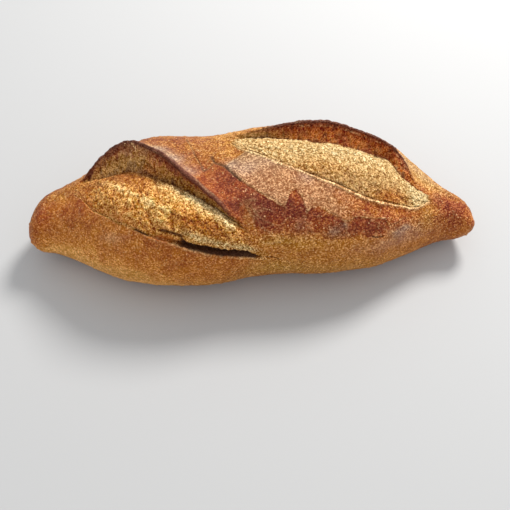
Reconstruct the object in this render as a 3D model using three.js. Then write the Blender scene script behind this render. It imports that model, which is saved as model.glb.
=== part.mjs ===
// A long crusty rye loaf, baked free-standing, with two slanting slashes.
//
// Each slash opened in the oven: soft crumb swelled up through it as a bloom, and the crust on
// its far side lifted into a thin standing ear. The loaf is one closed solid, made of upright
// sections strung along X. Millimetres; the front of the loaf faces -Y, and Z is up.

import * as THREE from 'three';

// ---- the whole loaf -------------------------------------------------------------------------
const LENGTH = 320;
const HALF_LENGTH = LENGTH / 2;
const NOSE_LEFT = 13; // how far the rounding of each pointed end reaches in from its tip
const NOSE_RIGHT = 14;

// Each list runs from the left tip to the right tip as [place along the loaf, value].
const HALF_WIDTH = [
  [-160, 17], [-140, 23.5], [-110, 39], [-85, 53], [-60, 57.5], [-25, 56.5],
  [10, 57], [50, 58.5], [80, 54], [100, 47.2], [118, 34], [140, 17.5], [160, 12],
];
const HEIGHT = [
  [-160, 28], [-140, 40], [-110, 58], [-75, 74], [-35, 76], [10, 77.5],
  [50, 76], [85, 67], [115, 50.5], [140, 35.5], [160, 24],
];
const MIDDLE = [
  [-160, -11.5], [-140, -4], [-110, -3.5], [-75, -0.5], [-35, -1.5], [10, 6],
  [50, 8.7], [80, 9.5], [100, 10.7], [118, 7], [140, 1], [160, -5],
];
const TIP_LIFT = [[-160, 11], [-140, 6], [-110, 1.5], [-75, 0], [85, 0], [115, 1.5], [140, 5], [160, 11]];

const WIDEST_AT = 0.43; // height of the widest line, as a share of the loaf's height
const BELLY_DEPTH = 1.25; // over 1, the underside is cut off flat where the loaf stands
const TOP_ROUNDNESS = 0.95; // 1 is an ellipse, less is squarer
const BELLY_ROUNDNESS = 0.8;
const BASE_EDGE = 142; // angle of the edge of the flat base, from the crest

// ---- the two slashes ------------------------------------------------------------------------
// lip: the edge of the crust in front of the bloom. crease: where the bloom dips under the ear.
// rim: the ear's upper edge. These three are angles in degrees round the section, 0 at the crest
// and negative on the front. rise and depth are how far the rim stands above the loaf's round
// form and how far the crease lies below it. fullness is a power: at 2 the bloom dips evenly
// towards the crease, and higher it stays up and drops late. tear is the depth of the gap that
// pulled open between the lip and the bloom.
const LEFT_SLASH = {
  lip: [
    [-160, -35], [-127, 3], [-106, -26], [-80, -43], [-48, -56.5],
    [-16, -71], [17.5, -83], [60, -88], [160, -80],
  ],
  crease: [
    [-160, 2], [-127, 14], [-115, 21], [-94, 15], [-72, 2.5], [-50, -8.5],
    [-28, -24.5], [-11.5, -42.5], [2, -57], [17.5, -72], [60, -66], [160, -62],
  ],
  rim: [
    [-160, 8], [-127, 18], [-115, 26], [-100, 28.5], [-90, 26.5], [-74, 16],
    [-50, -2], [-28, -21], [-11.5, -40], [2, -52], [17.5, -66], [60, -54], [160, -50],
  ],
  rise: [[-118, 0], [-109, 6.3], [-97, 9.2], [-60, 8], [-30, 4.6], [-12, 1.4], [-4, 0]],
  depth: [[-124, 0], [-108, 6], [-90, 9], [-60, 8], [-30, 6], [-12, 3], [-4, 0]],
  fullness: [[-127, 2], [-85, 2], [-60, 4], [-40, 7], [20, 7]],
  tear: [[-64, 0], [-48, 3], [-30, 5.5], [-6, 5.5], [4, 2.5], [10, 1], [18, 0]],
};
const RIGHT_SLASH = {
  lip: [
    [-160, 48], [-95, 64], [-40, 48], [-15, 22], [-4, 10], [22, -5.5],
    [50, -18.5], [83, -31], [110, -35.5], [117, -32], [122, -26], [160, -8],
  ],
  crease: [
    [-160, 60], [-95, 76], [-40, 60], [-15, 30], [10, 29], [38, 25],
    [80, 19], [96, 15], [103, 2], [115, -10], [122, -14], [160, 15],
  ],
  rim: [
    [-160, 65], [-95, 80], [-40, 64], [-15, 33], [12, 30], [44, 31], [68, 29.5],
    [90, 24], [100, 19], [108, 12], [112.5, 0], [117, -6], [122, -8], [160, 22],
  ],
  rise: [[-20, 0], [-4, 1.6], [15, 4.4], [45, 6.2], [78, 5.4], [98, 5.5], [110, 2.5], [118, 0]],
  depth: [[-22, 0], [0, 3], [20, 5.5], [50, 7.5], [85, 7], [104, 4], [118, 0]],
  fullness: [[-22, 2], [118, 2]],
  tear: [[-22, 0], [118, 0]],
};
const FULL_DEPTH = 8; // the depth at which a slash has its full lip, bulge and undercut
const LIP_RISE = 0.8; // the lip curls up a little
const LIP_NICK = 0.3; // the least gap between lip and bloom
const BLOOM_BULGE = 2; // how far the bloom swells out between lip and crease
const EDGE_ANGLE = 2; // width of the gap between lip and bloom where it stays shut
const TEAR_ANGLE = 5; // and what the open tear adds to it
const FULL_TEAR = 5;
const TEAR_FLOOR_PLACE = 0.6; // the tear's floor lies nearer the bloom, under its edge
const UNDERCUT_ANGLE = 3; // the wall below the rim is hollowed by this much
const RIM_ANGLE = 3; // thickness of the ear's edge
const INNER_RIM_RISE = 0.85; // the edge's two corners stand a little lower than its middle
const OUTER_RIM_RISE = 0.9;
const EAR_ANGLE = 25; // how far behind its rim the ear runs into the crust
const LEAST_BAND = 4; // the least crust left between an ear and the next slash's lip

// Crags on the bloom: soft lumps, as [height, waves along the loaf, waves round it, shift].
const LUMPS = [[0.5, 9, 5, 0.3], [0.4, 14, -9, 1.7], [0.3, 23, 12, 4.1]];

// ---- how finely it is divided ---------------------------------------------------------------
const NOSE_COLUMNS = 5;
const BODY_COLUMNS = 78;
const ROWS = {
  base: 2, frontCrust: 5, tear: 1, bloom: 6, wall: 3, rim: 1, ear: 4, band: 4, backCrust: 5,
};

const DEGREE = Math.PI / 180;
const steady = (t) => t;
const lateStart = (t) => t * t;
const earlyStart = (t) => 1 - (1 - t) ** 2;

// A smooth curve through [place, value] pairs that never swings past them.
function smoothCurve(points) {
  const last = points.length - 1;
  const width = (k) => points[k + 1][0] - points[k][0];
  const slope = (k) => (points[k + 1][1] - points[k][1]) / width(k);
  const tangents = points.map((point, k) => {
    if (k === 0) return slope(0);
    if (k === last) return slope(last - 1);
    if (slope(k - 1) * slope(k) <= 0) return 0;
    const before = 2 * width(k) + width(k - 1);
    const after = width(k) + 2 * width(k - 1);
    return (before + after) / (before / slope(k - 1) + after / slope(k));
  });
  return (place) => {
    const x = THREE.MathUtils.clamp(place, points[0][0], points[last][0]);
    let k = 0;
    while (k < last - 1 && x > points[k + 1][0]) k += 1;
    const t = (x - points[k][0]) / width(k);
    const start = (1 + 2 * t) * (1 - t) ** 2 * points[k][1] + t * (1 - t) ** 2 * width(k) * tangents[k];
    const end = t * t * (3 - 2 * t) * points[k + 1][1] + t * t * (t - 1) * width(k) * tangents[k + 1];
    return start + end;
  };
}

const halfWidth = smoothCurve(HALF_WIDTH);
const height = smoothCurve(HEIGHT);
const middle = smoothCurve(MIDDLE);
const tipLift = smoothCurve(TIP_LIFT);

// 1 along the loaf, falling to 0 at the two tips on a round curve.
function noseScale(x) {
  const left = Math.min((x + HALF_LENGTH) / NOSE_LEFT, 1);
  const right = Math.min((HALF_LENGTH - x) / NOSE_RIGHT, 1);
  return Math.sqrt(Math.max(0, 1 - (1 - left) ** 2) * Math.max(0, 1 - (1 - right) ** 2));
}

// The loaf's round form before slashing: the point of section x at an angle from the crest.
function roundForm(x, angle) {
  const across = Math.sin(angle * DEGREE);
  const up = Math.cos(angle * DEGREE);
  const nose = noseScale(x);
  const widest = WIDEST_AT * height(x);
  const roundness = up > 0 ? TOP_ROUNDNESS : BELLY_ROUNDNESS;
  const y = middle(x) + halfWidth(x) * nose * Math.sign(across) * Math.abs(across) ** roundness;
  const reach = up > 0 ? height(x) - widest : BELLY_DEPTH * widest;
  const z = widest + reach * nose * Math.sign(up) * Math.abs(up) ** TOP_ROUNDNESS;
  return [y, z + tipLift(x)];
}

// The same point moved out along the section's normal, and never below the base.
function surfacePoint(x, angle, offset) {
  const step = 0.2;
  const [y, z] = roundForm(x, angle);
  const [y0, z0] = roundForm(x, angle - step);
  const [y1, z1] = roundForm(x, angle + step);
  const run = Math.hypot(y1 - y0, z1 - z0) || 1;
  const outY = y - ((z1 - z0) / run) * offset;
  const outZ = z + ((y1 - y0) / run) * offset;
  return new THREE.Vector3(x, outY, Math.max(0, outZ));
}

function lumpHeight(x, angle) {
  const along = (x / LENGTH) * 2 * Math.PI;
  const round = angle * DEGREE;
  return LUMPS.reduce((sum, [size, wavesAlong, wavesRound, shift]) => (
    sum + size * Math.sin(wavesAlong * along + wavesRound * round + shift)
  ), 0);
}

function smoothSlash(slash) {
  return Object.fromEntries(Object.entries(slash).map(([name, points]) => [name, smoothCurve(points)]));
}
const leftSlash = smoothSlash(LEFT_SLASH);
const rightSlash = smoothSlash(RIGHT_SLASH);

// Adds rows up to a new angle and offset. The angle may bow out and the offset swell between.
function addRows(rows, angle, offset, count, { ease = steady, swell = 0, bow = 0 } = {}) {
  const from = rows[rows.length - 1];
  for (let i = 1; i <= count; i += 1) {
    const t = i / count;
    const hump = Math.sin(Math.PI * t);
    rows.push({
      angle: from.angle + (angle - from.angle) * t + bow * hump,
      offset: from.offset + (offset - from.offset) * ease(t) + swell * hump,
    });
  }
}

// One slash from front to back: lip, tear, bloom, crease, wall, rim and the ear's long top.
function addSlash(rows, x, slash, crustRows, nextLip = BASE_EDGE) {
  const full = Math.min(slash.depth(x) / FULL_DEPTH, 1);
  const open = Math.min(slash.tear(x) / FULL_TEAR, 1);
  const lip = slash.lip(x);
  const gap = EDGE_ANGLE + TEAR_ANGLE * open;
  const rim = slash.rim(x);
  const rise = slash.rise(x);
  addRows(rows, lip, LIP_RISE * full, crustRows, { ease: lateStart });
  addRows(rows, lip + gap * TEAR_FLOOR_PLACE, -slash.tear(x) - LIP_NICK * full, ROWS.tear);
  addRows(rows, lip + gap, LIP_NICK * full, ROWS.tear);
  const bloomStart = rows.length;
  const lateDrop = (t) => t ** slash.fullness(x);
  addRows(rows, slash.crease(x), -slash.depth(x), ROWS.bloom, { ease: lateDrop, swell: BLOOM_BULGE * full });
  for (const row of rows.slice(bloomStart, -1)) {
    row.offset += lumpHeight(x, row.angle) * full;
  }
  addRows(rows, rim, rise * INNER_RIM_RISE, ROWS.wall, { bow: UNDERCUT_ANGLE * full });
  addRows(rows, rim + RIM_ANGLE / 2, rise, ROWS.rim);
  addRows(rows, rim + RIM_ANGLE, rise * OUTER_RIM_RISE, ROWS.rim);
  const earEnd = Math.min(rim + EAR_ANGLE, nextLip - LEAST_BAND);
  addRows(rows, earEnd, 0, ROWS.ear, { ease: earlyStart });
}

// All rows of section x, from the middle of the base round the front, over the top and back.
function sectionRows(x) {
  const rows = [{ angle: -180, offset: 0 }];
  addRows(rows, -BASE_EDGE, 0, ROWS.base);
  addSlash(rows, x, leftSlash, ROWS.frontCrust, rightSlash.lip(x));
  addSlash(rows, x, rightSlash, ROWS.band);
  addRows(rows, BASE_EDGE, 0, ROWS.backCrust);
  addRows(rows, 180, 0, ROWS.base);
  rows.pop();
  return rows;
}

// Places of the sections between the tips: evenly spaced, closer where the noses round off.
function sectionPlaces() {
  const places = [];
  for (let i = 1; i < NOSE_COLUMNS; i += 1) {
    const turn = (i / NOSE_COLUMNS) * (Math.PI / 2);
    places.push(-HALF_LENGTH + NOSE_LEFT * (1 - Math.cos(turn)));
  }
  for (let i = 0; i <= BODY_COLUMNS; i += 1) {
    const start = -HALF_LENGTH + NOSE_LEFT;
    places.push(start + (LENGTH - NOSE_LEFT - NOSE_RIGHT) * (i / BODY_COLUMNS));
  }
  for (let i = NOSE_COLUMNS - 1; i > 0; i -= 1) {
    const turn = (i / NOSE_COLUMNS) * (Math.PI / 2);
    places.push(HALF_LENGTH - NOSE_RIGHT * (1 - Math.cos(turn)));
  }
  return places;
}

function loafGeometry() {
  const sections = sectionPlaces().map((x) => (
    sectionRows(x).map((row) => surfacePoint(x, row.angle, row.offset))
  ));
  const rowCount = sections[0].length;
  const points = [surfacePoint(-HALF_LENGTH, 0, 0), ...sections.flat(), surfacePoint(HALF_LENGTH, 0, 0)];
  const leftTip = 0;
  const rightTip = points.length - 1;
  const corner = (column, row) => 1 + column * rowCount + (row % rowCount);
  const faces = [];
  for (let row = 0; row < rowCount; row += 1) {
    faces.push(leftTip, corner(0, row), corner(0, row + 1));
    for (let column = 0; column < sections.length - 1; column += 1) {
      const [a, b] = [corner(column, row), corner(column + 1, row)];
      const [c, d] = [corner(column + 1, row + 1), corner(column, row + 1)];
      faces.push(a, b, c, a, c, d);
    }
    faces.push(rightTip, corner(sections.length - 1, row + 1), corner(sections.length - 1, row));
  }
  const geometry = new THREE.BufferGeometry().setFromPoints(points);
  geometry.setIndex(faces);
  geometry.computeVertexNormals();
  return geometry;
}

// The origin is under the middle of the loaf, on the surface that it stands on.
function standOnOrigin(geometry) {
  geometry.computeBoundingBox();
  const centre = geometry.boundingBox.getCenter(new THREE.Vector3());
  geometry.translate(-centre.x, -centre.y, -geometry.boundingBox.min.z);
}

const crust = new THREE.MeshStandardMaterial({ color: 0xa9683a, roughness: 0.75, metalness: 0 });
const geometry = loafGeometry();
standOnOrigin(geometry);
const loaf = new THREE.Mesh(geometry, crust);
loaf.name = 'loaf';

const bread = new THREE.Group();
bread.add(loaf);

export default bread;
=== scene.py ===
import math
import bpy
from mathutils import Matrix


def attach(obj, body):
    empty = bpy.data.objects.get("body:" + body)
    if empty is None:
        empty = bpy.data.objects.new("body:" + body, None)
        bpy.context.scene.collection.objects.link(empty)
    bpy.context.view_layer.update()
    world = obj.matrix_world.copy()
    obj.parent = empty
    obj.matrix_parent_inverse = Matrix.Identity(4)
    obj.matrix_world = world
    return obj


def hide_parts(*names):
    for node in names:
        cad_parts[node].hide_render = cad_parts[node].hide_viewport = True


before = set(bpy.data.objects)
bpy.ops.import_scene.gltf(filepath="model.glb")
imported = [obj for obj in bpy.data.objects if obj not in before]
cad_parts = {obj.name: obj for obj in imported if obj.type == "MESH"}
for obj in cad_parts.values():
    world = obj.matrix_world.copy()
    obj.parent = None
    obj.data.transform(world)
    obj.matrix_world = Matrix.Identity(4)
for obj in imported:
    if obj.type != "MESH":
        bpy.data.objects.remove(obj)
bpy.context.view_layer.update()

# A long crusty rye loaf with two slanting slashes. The loaf's round form and its slashes are
# worked out as in the solid, in millimetres, on a much finer grid. Relief is then added along
# the surface, and soft masks on the points tell the material where each kind of crust lies.
from types import SimpleNamespace

import bpy
import numpy as np
from mathutils import Vector, kdtree, noise

MM = 0.001
DEGREE = math.pi / 180

# ---- the loaf's round form, as (place along the loaf, value) ----
HALF_LENGTH = 160
NOSE_LEFT = 13  # length over which each tip rounds off
NOSE_RIGHT = 14
HALF_WIDTH = [
    (-160, 17), (-140, 23.5), (-110, 39), (-85, 53), (-60, 57.5), (-25, 56.5), (10, 57), (50, 58.5),
    (80, 54), (100, 47.2), (118, 34), (140, 17.5), (160, 12),
]
HEIGHT = [
    (-160, 28), (-140, 40), (-110, 58), (-75, 74), (-35, 76), (10, 77.5), (50, 76), (85, 67),
    (115, 50.5), (140, 35.5), (160, 24),
]
MIDDLE = [  # how far the middle line lies towards the back
    (-160, -11.5), (-140, -4), (-110, -3.5), (-75, -0.5), (-35, -1.5), (10, 6), (50, 8.7),
    (80, 9.5), (100, 10.7), (118, 7), (140, 1), (160, -5),
]
TIP_LIFT = [(-160, 11), (-140, 6), (-110, 1.5), (-75, 0), (85, 0), (115, 1.5), (140, 5), (160, 11)]
WIDEST_AT = 0.43  # height of the widest line, as a share of the loaf's height
BELLY_DEPTH = 1.25  # over 1, the underside is cut off flat where the loaf stands
TOP_ROUNDNESS = 0.95  # 1 is an ellipse, less is squarer
BELLY_ROUNDNESS = 0.8
BASE_EDGE = 142  # angle of the edge of the flat base, from the crest

# ---- the two slashes ----
# lip: the crust's edge in front of the bloom. crease: where the bloom dips under the ear. rim:
# the ear's upper edge. All three are angles in degrees, 0 at the crest and negative in front.
# rise, depth and tear: how far the rim stands above the round form, and how far crease and tear
# lie below it. fullness: over 2 the bloom drops late. shown: where the bloom's crumb shows.
LEFT_SLASH = {
    "lip": [
        (-160, -35), (-127, 3), (-106, -26), (-80, -43), (-48, -56.5), (-16, -71), (17.5, -83),
        (60, -88), (160, -80),
    ],
    "crease": [
        (-160, 2), (-127, 14), (-115, 21), (-94, 15), (-72, 2.5), (-50, -8.5), (-28, -24.5),
        (-11.5, -42.5), (2, -57), (17.5, -72), (60, -66), (160, -62),
    ],
    "rim": [
        (-160, 8), (-127, 18), (-115, 26), (-100, 28.5), (-90, 26.5), (-74, 16), (-50, -2),
        (-28, -21), (-11.5, -40), (2, -52), (17.5, -66), (60, -54), (160, -50),
    ],
    "rise": [(-118, 0), (-109, 6.3), (-97, 9.2), (-60, 8), (-30, 4.6), (-12, 1.4), (-4, 0)],
    "depth": [(-124, 0), (-108, 6), (-90, 9), (-60, 8), (-30, 6), (-12, 3), (-4, 0)],
    "tear": [(-64, 0), (-48, 3), (-30, 5.5), (-6, 5.5), (4, 2.5), (10, 1), (18, 0)],
    "fullness": [(-127, 2), (-85, 2), (-60, 4), (-40, 7), (20, 7)],
    "shown": [(-127, 0), (-120, 1), (2, 1), (15, 0)],
}
RIGHT_SLASH = {
    "lip": [
        (-160, 48), (-95, 64), (-40, 48), (-15, 22), (-4, 10), (22, -5.5), (50, -18.5), (83, -31),
        (110, -35.5), (117, -32), (122, -26), (160, -8),
    ],
    "crease": [
        (-160, 60), (-95, 76), (-40, 60), (-15, 30), (10, 29), (38, 25), (80, 19), (96, 15),
        (103, 2), (115, -10), (122, -14), (160, 15),
    ],
    "rim": [
        (-160, 65), (-95, 80), (-40, 64), (-15, 33), (12, 30), (44, 31), (68, 29.5), (90, 24),
        (100, 19), (108, 12), (112.5, 0), (117, -6), (122, -8), (160, 22),
    ],
    "rise": [(-20, 0), (-4, 1.6), (15, 4.4), (45, 6.2), (78, 5.4), (98, 5.5), (110, 2.5), (118, 0)],
    "depth": [(-22, 0), (0, 3), (20, 5.5), (50, 7.5), (85, 7), (104, 4), (118, 0)],
    "tear": [(-22, 0), (118, 0)],
    "fullness": [(-22, 2), (118, 2)],
    "shown": [(-17, 0), (-6, 1), (119, 1), (126, 0)],
}
FULL_DEPTH = 8  # the depth at which a slash has its full lip, bulge and undercut
LIP_RISE = 0.8  # the lip curls up a little
LIP_NICK = 0.3  # the least gap between lip and bloom
BLOOM_BULGE = 2  # how far the bloom swells out between lip and crease
EDGE_ANGLE = 2  # width of the gap between lip and bloom where it stays shut
TEAR_ANGLE = 5  # and what the open tear adds to it
FULL_TEAR = 5
TEAR_FLOOR_PLACE = 0.6  # the tear's floor lies nearer the bloom, under its edge
UNDERCUT_ANGLE = 3  # the wall below the rim is hollowed by this much
RIM_ANGLE = 3  # thickness of the ear's edge
INNER_RIM_RISE = 0.85  # the edge's two corners stand a little lower than its middle
OUTER_RIM_RISE = 0.9
EAR_ANGLE = 25  # how far behind its rim the ear runs into the crust
LEAST_BAND = 4  # the least crust left between an ear and the next slash's lip
# lumps on the bloom: height, waves along the loaf, waves round it, shift
LUMPS = [(0.5, 9, 5, 0.3), (0.4, 14, -9, 1.7), (0.3, 23, 12, 4.1)]

# raggedness: amount in degrees, or mm for the rise, size in mm and shift of the noise
LIP_WAVES = (0.9, 9, 2.5)
LIP_FRAY = (1, 2.5, 7.5)
SHUT_LIP_FRAY = 0.6
TORN_LIP_FRAY = 0.9
RIM_WAVES = (0.9, 5, 4.5)
RISE_WAVES = (0.35, 8, 9.5)
RISE_FRAY = (0.25, 2.5, 12.5)
GAP_WAVES = (1.6, 3, 15.5)

# ---- how finely it is divided ----
NOSE_COLUMNS = 16
BODY_COLUMNS = 450
ROWS = {
    "base": 8, "crust0": 70, "tear": 5, "bloom": 62, "wall": 20, "rim": 4,
    "ear": 28, "crust1": 34, "crust2": 46,
}


def smooth_curve(points):
    """A smooth curve through (place, value) pairs that never swings past them."""
    places, values = np.array(points, float).T
    width = np.diff(places)
    slope = np.diff(values) / width
    tangent = np.zeros(len(places))
    tangent[0], tangent[-1] = slope[0], slope[-1]
    for k in range(1, len(places) - 1):
        if slope[k - 1] * slope[k] > 0:
            before = 2 * width[k] + width[k - 1]
            after = width[k] + 2 * width[k - 1]
            tangent[k] = (before + after) / (before / slope[k - 1] + after / slope[k])

    def curve(x):
        x = np.clip(x, places[0], places[-1])
        k = np.clip(np.searchsorted(places, x) - 1, 0, len(places) - 2)
        t = (x - places[k]) / width[k]
        start = (1 + 2 * t) * (1 - t) ** 2 * values[k] + t * (1 - t) ** 2 * width[k] * tangent[k]
        end = t * t * (3 - 2 * t) * values[k + 1] + t * t * (t - 1) * width[k] * tangent[k + 1]
        return start + end

    return curve


half_width = smooth_curve(HALF_WIDTH)
height = smooth_curve(HEIGHT)
middle = smooth_curve(MIDDLE)
tip_lift = smooth_curve(TIP_LIFT)
SLASHES = [
    {name: smooth_curve(points) for name, points in slash.items()}
    for slash in (LEFT_SLASH, RIGHT_SLASH)
]


def soft_step(low, high, value):
    """0 up to low and 1 from high on, with a soft step between."""
    t = np.clip((value - low) / (high - low), 0, 1)
    return t * t * (3 - 2 * t)


def round_form(x, angle):
    """The loaf before slashing: across and up of section x at an angle from the crest."""
    left = np.clip((x + HALF_LENGTH) / NOSE_LEFT, 0, 1)
    right = np.clip((HALF_LENGTH - x) / NOSE_RIGHT, 0, 1)
    nose = np.sqrt(np.maximum(1 - (1 - left) ** 2, 0) * np.maximum(1 - (1 - right) ** 2, 0))
    across, up = np.sin(angle * DEGREE), np.cos(angle * DEGREE)
    widest = WIDEST_AT * height(x)
    roundness = np.where(up > 0, TOP_ROUNDNESS, BELLY_ROUNDNESS)
    y = middle(x) + half_width(x) * nose * np.sign(across) * np.abs(across) ** roundness
    reach = np.where(up > 0, height(x) - widest, BELLY_DEPTH * widest)
    z = widest + reach * nose * np.sign(up) * np.abs(up) ** TOP_ROUNDNESS
    return y, z + tip_lift(x)


def surface_points(x, angle, offset):
    """Points moved out from the round form along the section's normal, never below the base."""
    step = 0.2
    y, z = round_form(x, angle)
    y0, z0 = round_form(x, angle - step)
    y1, z1 = round_form(x, angle + step)
    run = np.hypot(y1 - y0, z1 - z0) + 1e-9
    y = y - (z1 - z0) / run * offset
    z = z + (y1 - y0) / run * offset
    return np.stack([np.broadcast_to(x, y.shape), y, np.maximum(z, 0)], axis=-1)


def lump_height(x, angle):
    """Soft lumps of the blooms, the same as in the solid."""
    along = x / (2 * HALF_LENGTH) * 2 * math.pi
    return sum(
        size * np.sin(waves_along * along + waves_round * angle * DEGREE + shift)
        for size, waves_along, waves_round, shift in LUMPS
    )


class Rows:
    """Rows of points round every section at once, and what kind of crust each row is."""

    def __init__(self, x):
        self.x = x
        self.angles = [x * 0 - 180]
        self.offsets = [x * 0]
        self.kinds = [("base", 0)]
        self.shares = [0]

    def add(self, kind, angle, offset, count, ease=None, swell=0, bow=0, lumps=0):
        angle0, offset0 = self.angles[-1], self.offsets[-1]
        for i in range(1, count + 1):
            t = i / count
            hump = math.sin(math.pi * t)
            eased = ease(t) if ease else t
            row_angle = angle0 + (angle - angle0) * t + bow * hump
            row_offset = offset0 + (offset - offset0) * eased + swell * hump
            if i < count:
                row_offset = row_offset + lump_height(self.x, row_angle) * lumps
            self.angles.append(row_angle)
            self.offsets.append(row_offset)
            self.kinds.append(kind)
            self.shares.append(t)


def late_start(t):
    return t * t


def early_start(t):
    return 1 - (1 - t) ** 2


def ragged(x, side, amount, size, shift):
    """Noise along the loaf, up to about the amount, for torn edges. Each side has its own."""
    values = [noise.fractal((v / size, shift + side, 0.5), 1.0, 2.0, 3) for v in x.tolist()]
    return amount * np.array(values)


def add_slash(rows, x, side, next_lip):
    """One slash from front to back: lip, tear, bloom, crease, wall, rim and the ear's long top."""
    slash = SLASHES[side]
    tear, fullness = slash["tear"](x), slash["fullness"](x)
    full = np.minimum(slash["depth"](x) / FULL_DEPTH, 1)
    opened = np.minimum(tear / FULL_TEAR, 1)
    fray = SHUT_LIP_FRAY + TORN_LIP_FRAY * opened
    ragged_lip = ragged(x, side, *LIP_WAVES) + fray * ragged(x, side, *LIP_FRAY)
    ragged_rise = ragged(x, side, *RISE_WAVES) + ragged(x, side, *RISE_FRAY)
    lip = slash["lip"](x) + full * ragged_lip
    rim = slash["rim"](x) + full * ragged(x, side, *RIM_WAVES)
    rise = slash["rise"](x) + full * ragged_rise
    gap = EDGE_ANGLE + opened * (TEAR_ANGLE + ragged(x, side, *GAP_WAVES))
    tear_floor = lip + gap * TEAR_FLOOR_PLACE
    rows.add(("crust", side), lip, LIP_RISE * full, ROWS[f"crust{side}"], late_start)
    rows.add(("tear", side), tear_floor, -tear - LIP_NICK * full, ROWS["tear"])
    rows.add(("tear", side), lip + gap, LIP_NICK * full, ROWS["tear"])
    rows.add(
        ("bloom", side), slash["crease"](x), -slash["depth"](x), ROWS["bloom"],
        lambda t: t ** fullness, swell=BLOOM_BULGE * full, lumps=full,
    )
    rows.add(("wall", side), rim, rise * INNER_RIM_RISE, ROWS["wall"], bow=UNDERCUT_ANGLE * full)
    rows.add(("rim", side), rim + RIM_ANGLE / 2, rise, ROWS["rim"])
    rows.add(("rim", side), rim + RIM_ANGLE, rise * OUTER_RIM_RISE, ROWS["rim"])
    ear_end = np.minimum(rim + EAR_ANGLE, next_lip - LEAST_BAND)
    rows.add(("ear", side), ear_end, 0, ROWS["ear"], early_start)


def loaf_rows(x):
    """All rows, from the middle of the base round the front, over the top and back."""
    rows = Rows(x)
    rows.add(("base", 0), -BASE_EDGE, 0, ROWS["base"])
    add_slash(rows, x, 0, SLASHES[1]["lip"](x))
    add_slash(rows, x, 1, BASE_EDGE)
    rows.add(("crust", 2), BASE_EDGE, 0, ROWS["crust2"])
    rows.add(("base", 1), 180, 0, ROWS["base"])
    return rows


def section_places():
    """Places of the sections between the tips, closer where the noses round off."""
    turn = np.arange(1, NOSE_COLUMNS) / NOSE_COLUMNS * math.pi / 2
    left = -HALF_LENGTH + NOSE_LEFT * (1 - np.cos(turn))
    right = HALF_LENGTH - NOSE_RIGHT * (1 - np.cos(turn[::-1]))
    body = np.linspace(-HALF_LENGTH + NOSE_LEFT, HALF_LENGTH - NOSE_RIGHT, BODY_COLUMNS + 1)
    return np.concatenate([left, body, right])


# ---- noise ----
def fractal(points, size, octaves=1, shift=0.0, stretch=(1, 1, 1)):
    """Soft noise from about -1 to 1, whose largest features are size mm across."""
    scaled = points.reshape(-1, 3) / (np.array(stretch) * size) + shift
    values = [
        noise.fractal(Vector(p), 1.0, 2.0, octaves, noise_basis="PERLIN_NEW")
        for p in scaled.tolist()
    ]
    return np.array(values).reshape(points.shape[:-1])


def cells(points, size, shift=0.0):
    """Distance to the nearest cell centre, the gap to the next one, and a value for each cell."""
    scaled = points.reshape(-1, 3) / size + shift
    found = [noise.voronoi(Vector(p)) for p in scaled.tolist()]
    shape = points.shape[:-1]
    near = np.array([f[0][0] for f in found]).reshape(shape)
    gap = np.array([f[0][1] - f[0][0] for f in found]).reshape(shape)
    centres = np.array([tuple(f[1][0]) for f in found])
    value = (centres[:, 0] * 7.13 + centres[:, 1] * 3.71).reshape(shape) % 1
    return near, gap, value


# ---- the pale skin between the slashes, as (place, angle) ----
SKIN_TOP = [(-18, 0.7), (-9, 6.5), (-1, 9.5), (22, -5.5), (50, -18.5), (83, -31), (112, -35.5)]
SKIN_EDGE = [
    (-18, 0.7), (-12, -7), (-2, -18), (9.5, -28.5), (16, -32.5), (21.5, -36), (25, -27), (29, -23),
    (33, -29), (36.5, -39.5), (39, -37), (44, -35.9), (52.5, -42), (58, -44.3), (61.5, -48.1),
    (65, -47.5), (68.5, -44), (78.5, -45.4), (89.4, -44.9), (92, -52), (99, -50), (112, -38),
]
SKIN_FADES = (46, 84)  # the skin fades out between these places

# ---- the dark red plates below the pale skin, as (place, angle) ----
# their top follows the skin's edge
RED_TOP = [
    (-36, -9.5), (-32, -1.7), (-28, 0.7), (-25.5, 4.8), *SKIN_EDGE[:15],
    (64, -52), (66, -48), *SKIN_EDGE[16:20], (95, -57),
]
RED_LOW = [
    (-36, -11.3), (-30, -18.3), (-23.5, -24.1), (-16.5, -30.4), (-10, -35.9), (-7, -33), (-5, -31),
    (-1, -39.1), (2.5, -50.2), (6.5, -55), (15, -55.6), (25, -59), (31.5, -58.1), (38.5, -57.4),
    (46, -59.2), (51.5, -62.6), (61.5, -62.2), (66.5, -61.8), (72, -59.2), (80.4, -61.7),
    (88.9, -64.1), (93.4, -57.5), (95, -57),
]
RED_SPOTS = [
    (13, -37, 20, 12, 0.34), (68, -52, 34, 11, 0.24), (35, -30, 20, 14, 0.08),
    (-12, -12, 12, 8, 0.08), (-14, -16, 9, 15, 0.14), (-12, -29, 9, 6, 0.16), (5, -38, 9, 8, 0.14),
    (-22, -4, 4, 5, 0.1), (38, -46, 14, 7, 0.08), (-1, -26, 8, 8, 0.18), (1, -41, 5, 8, 0.12),
]

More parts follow.
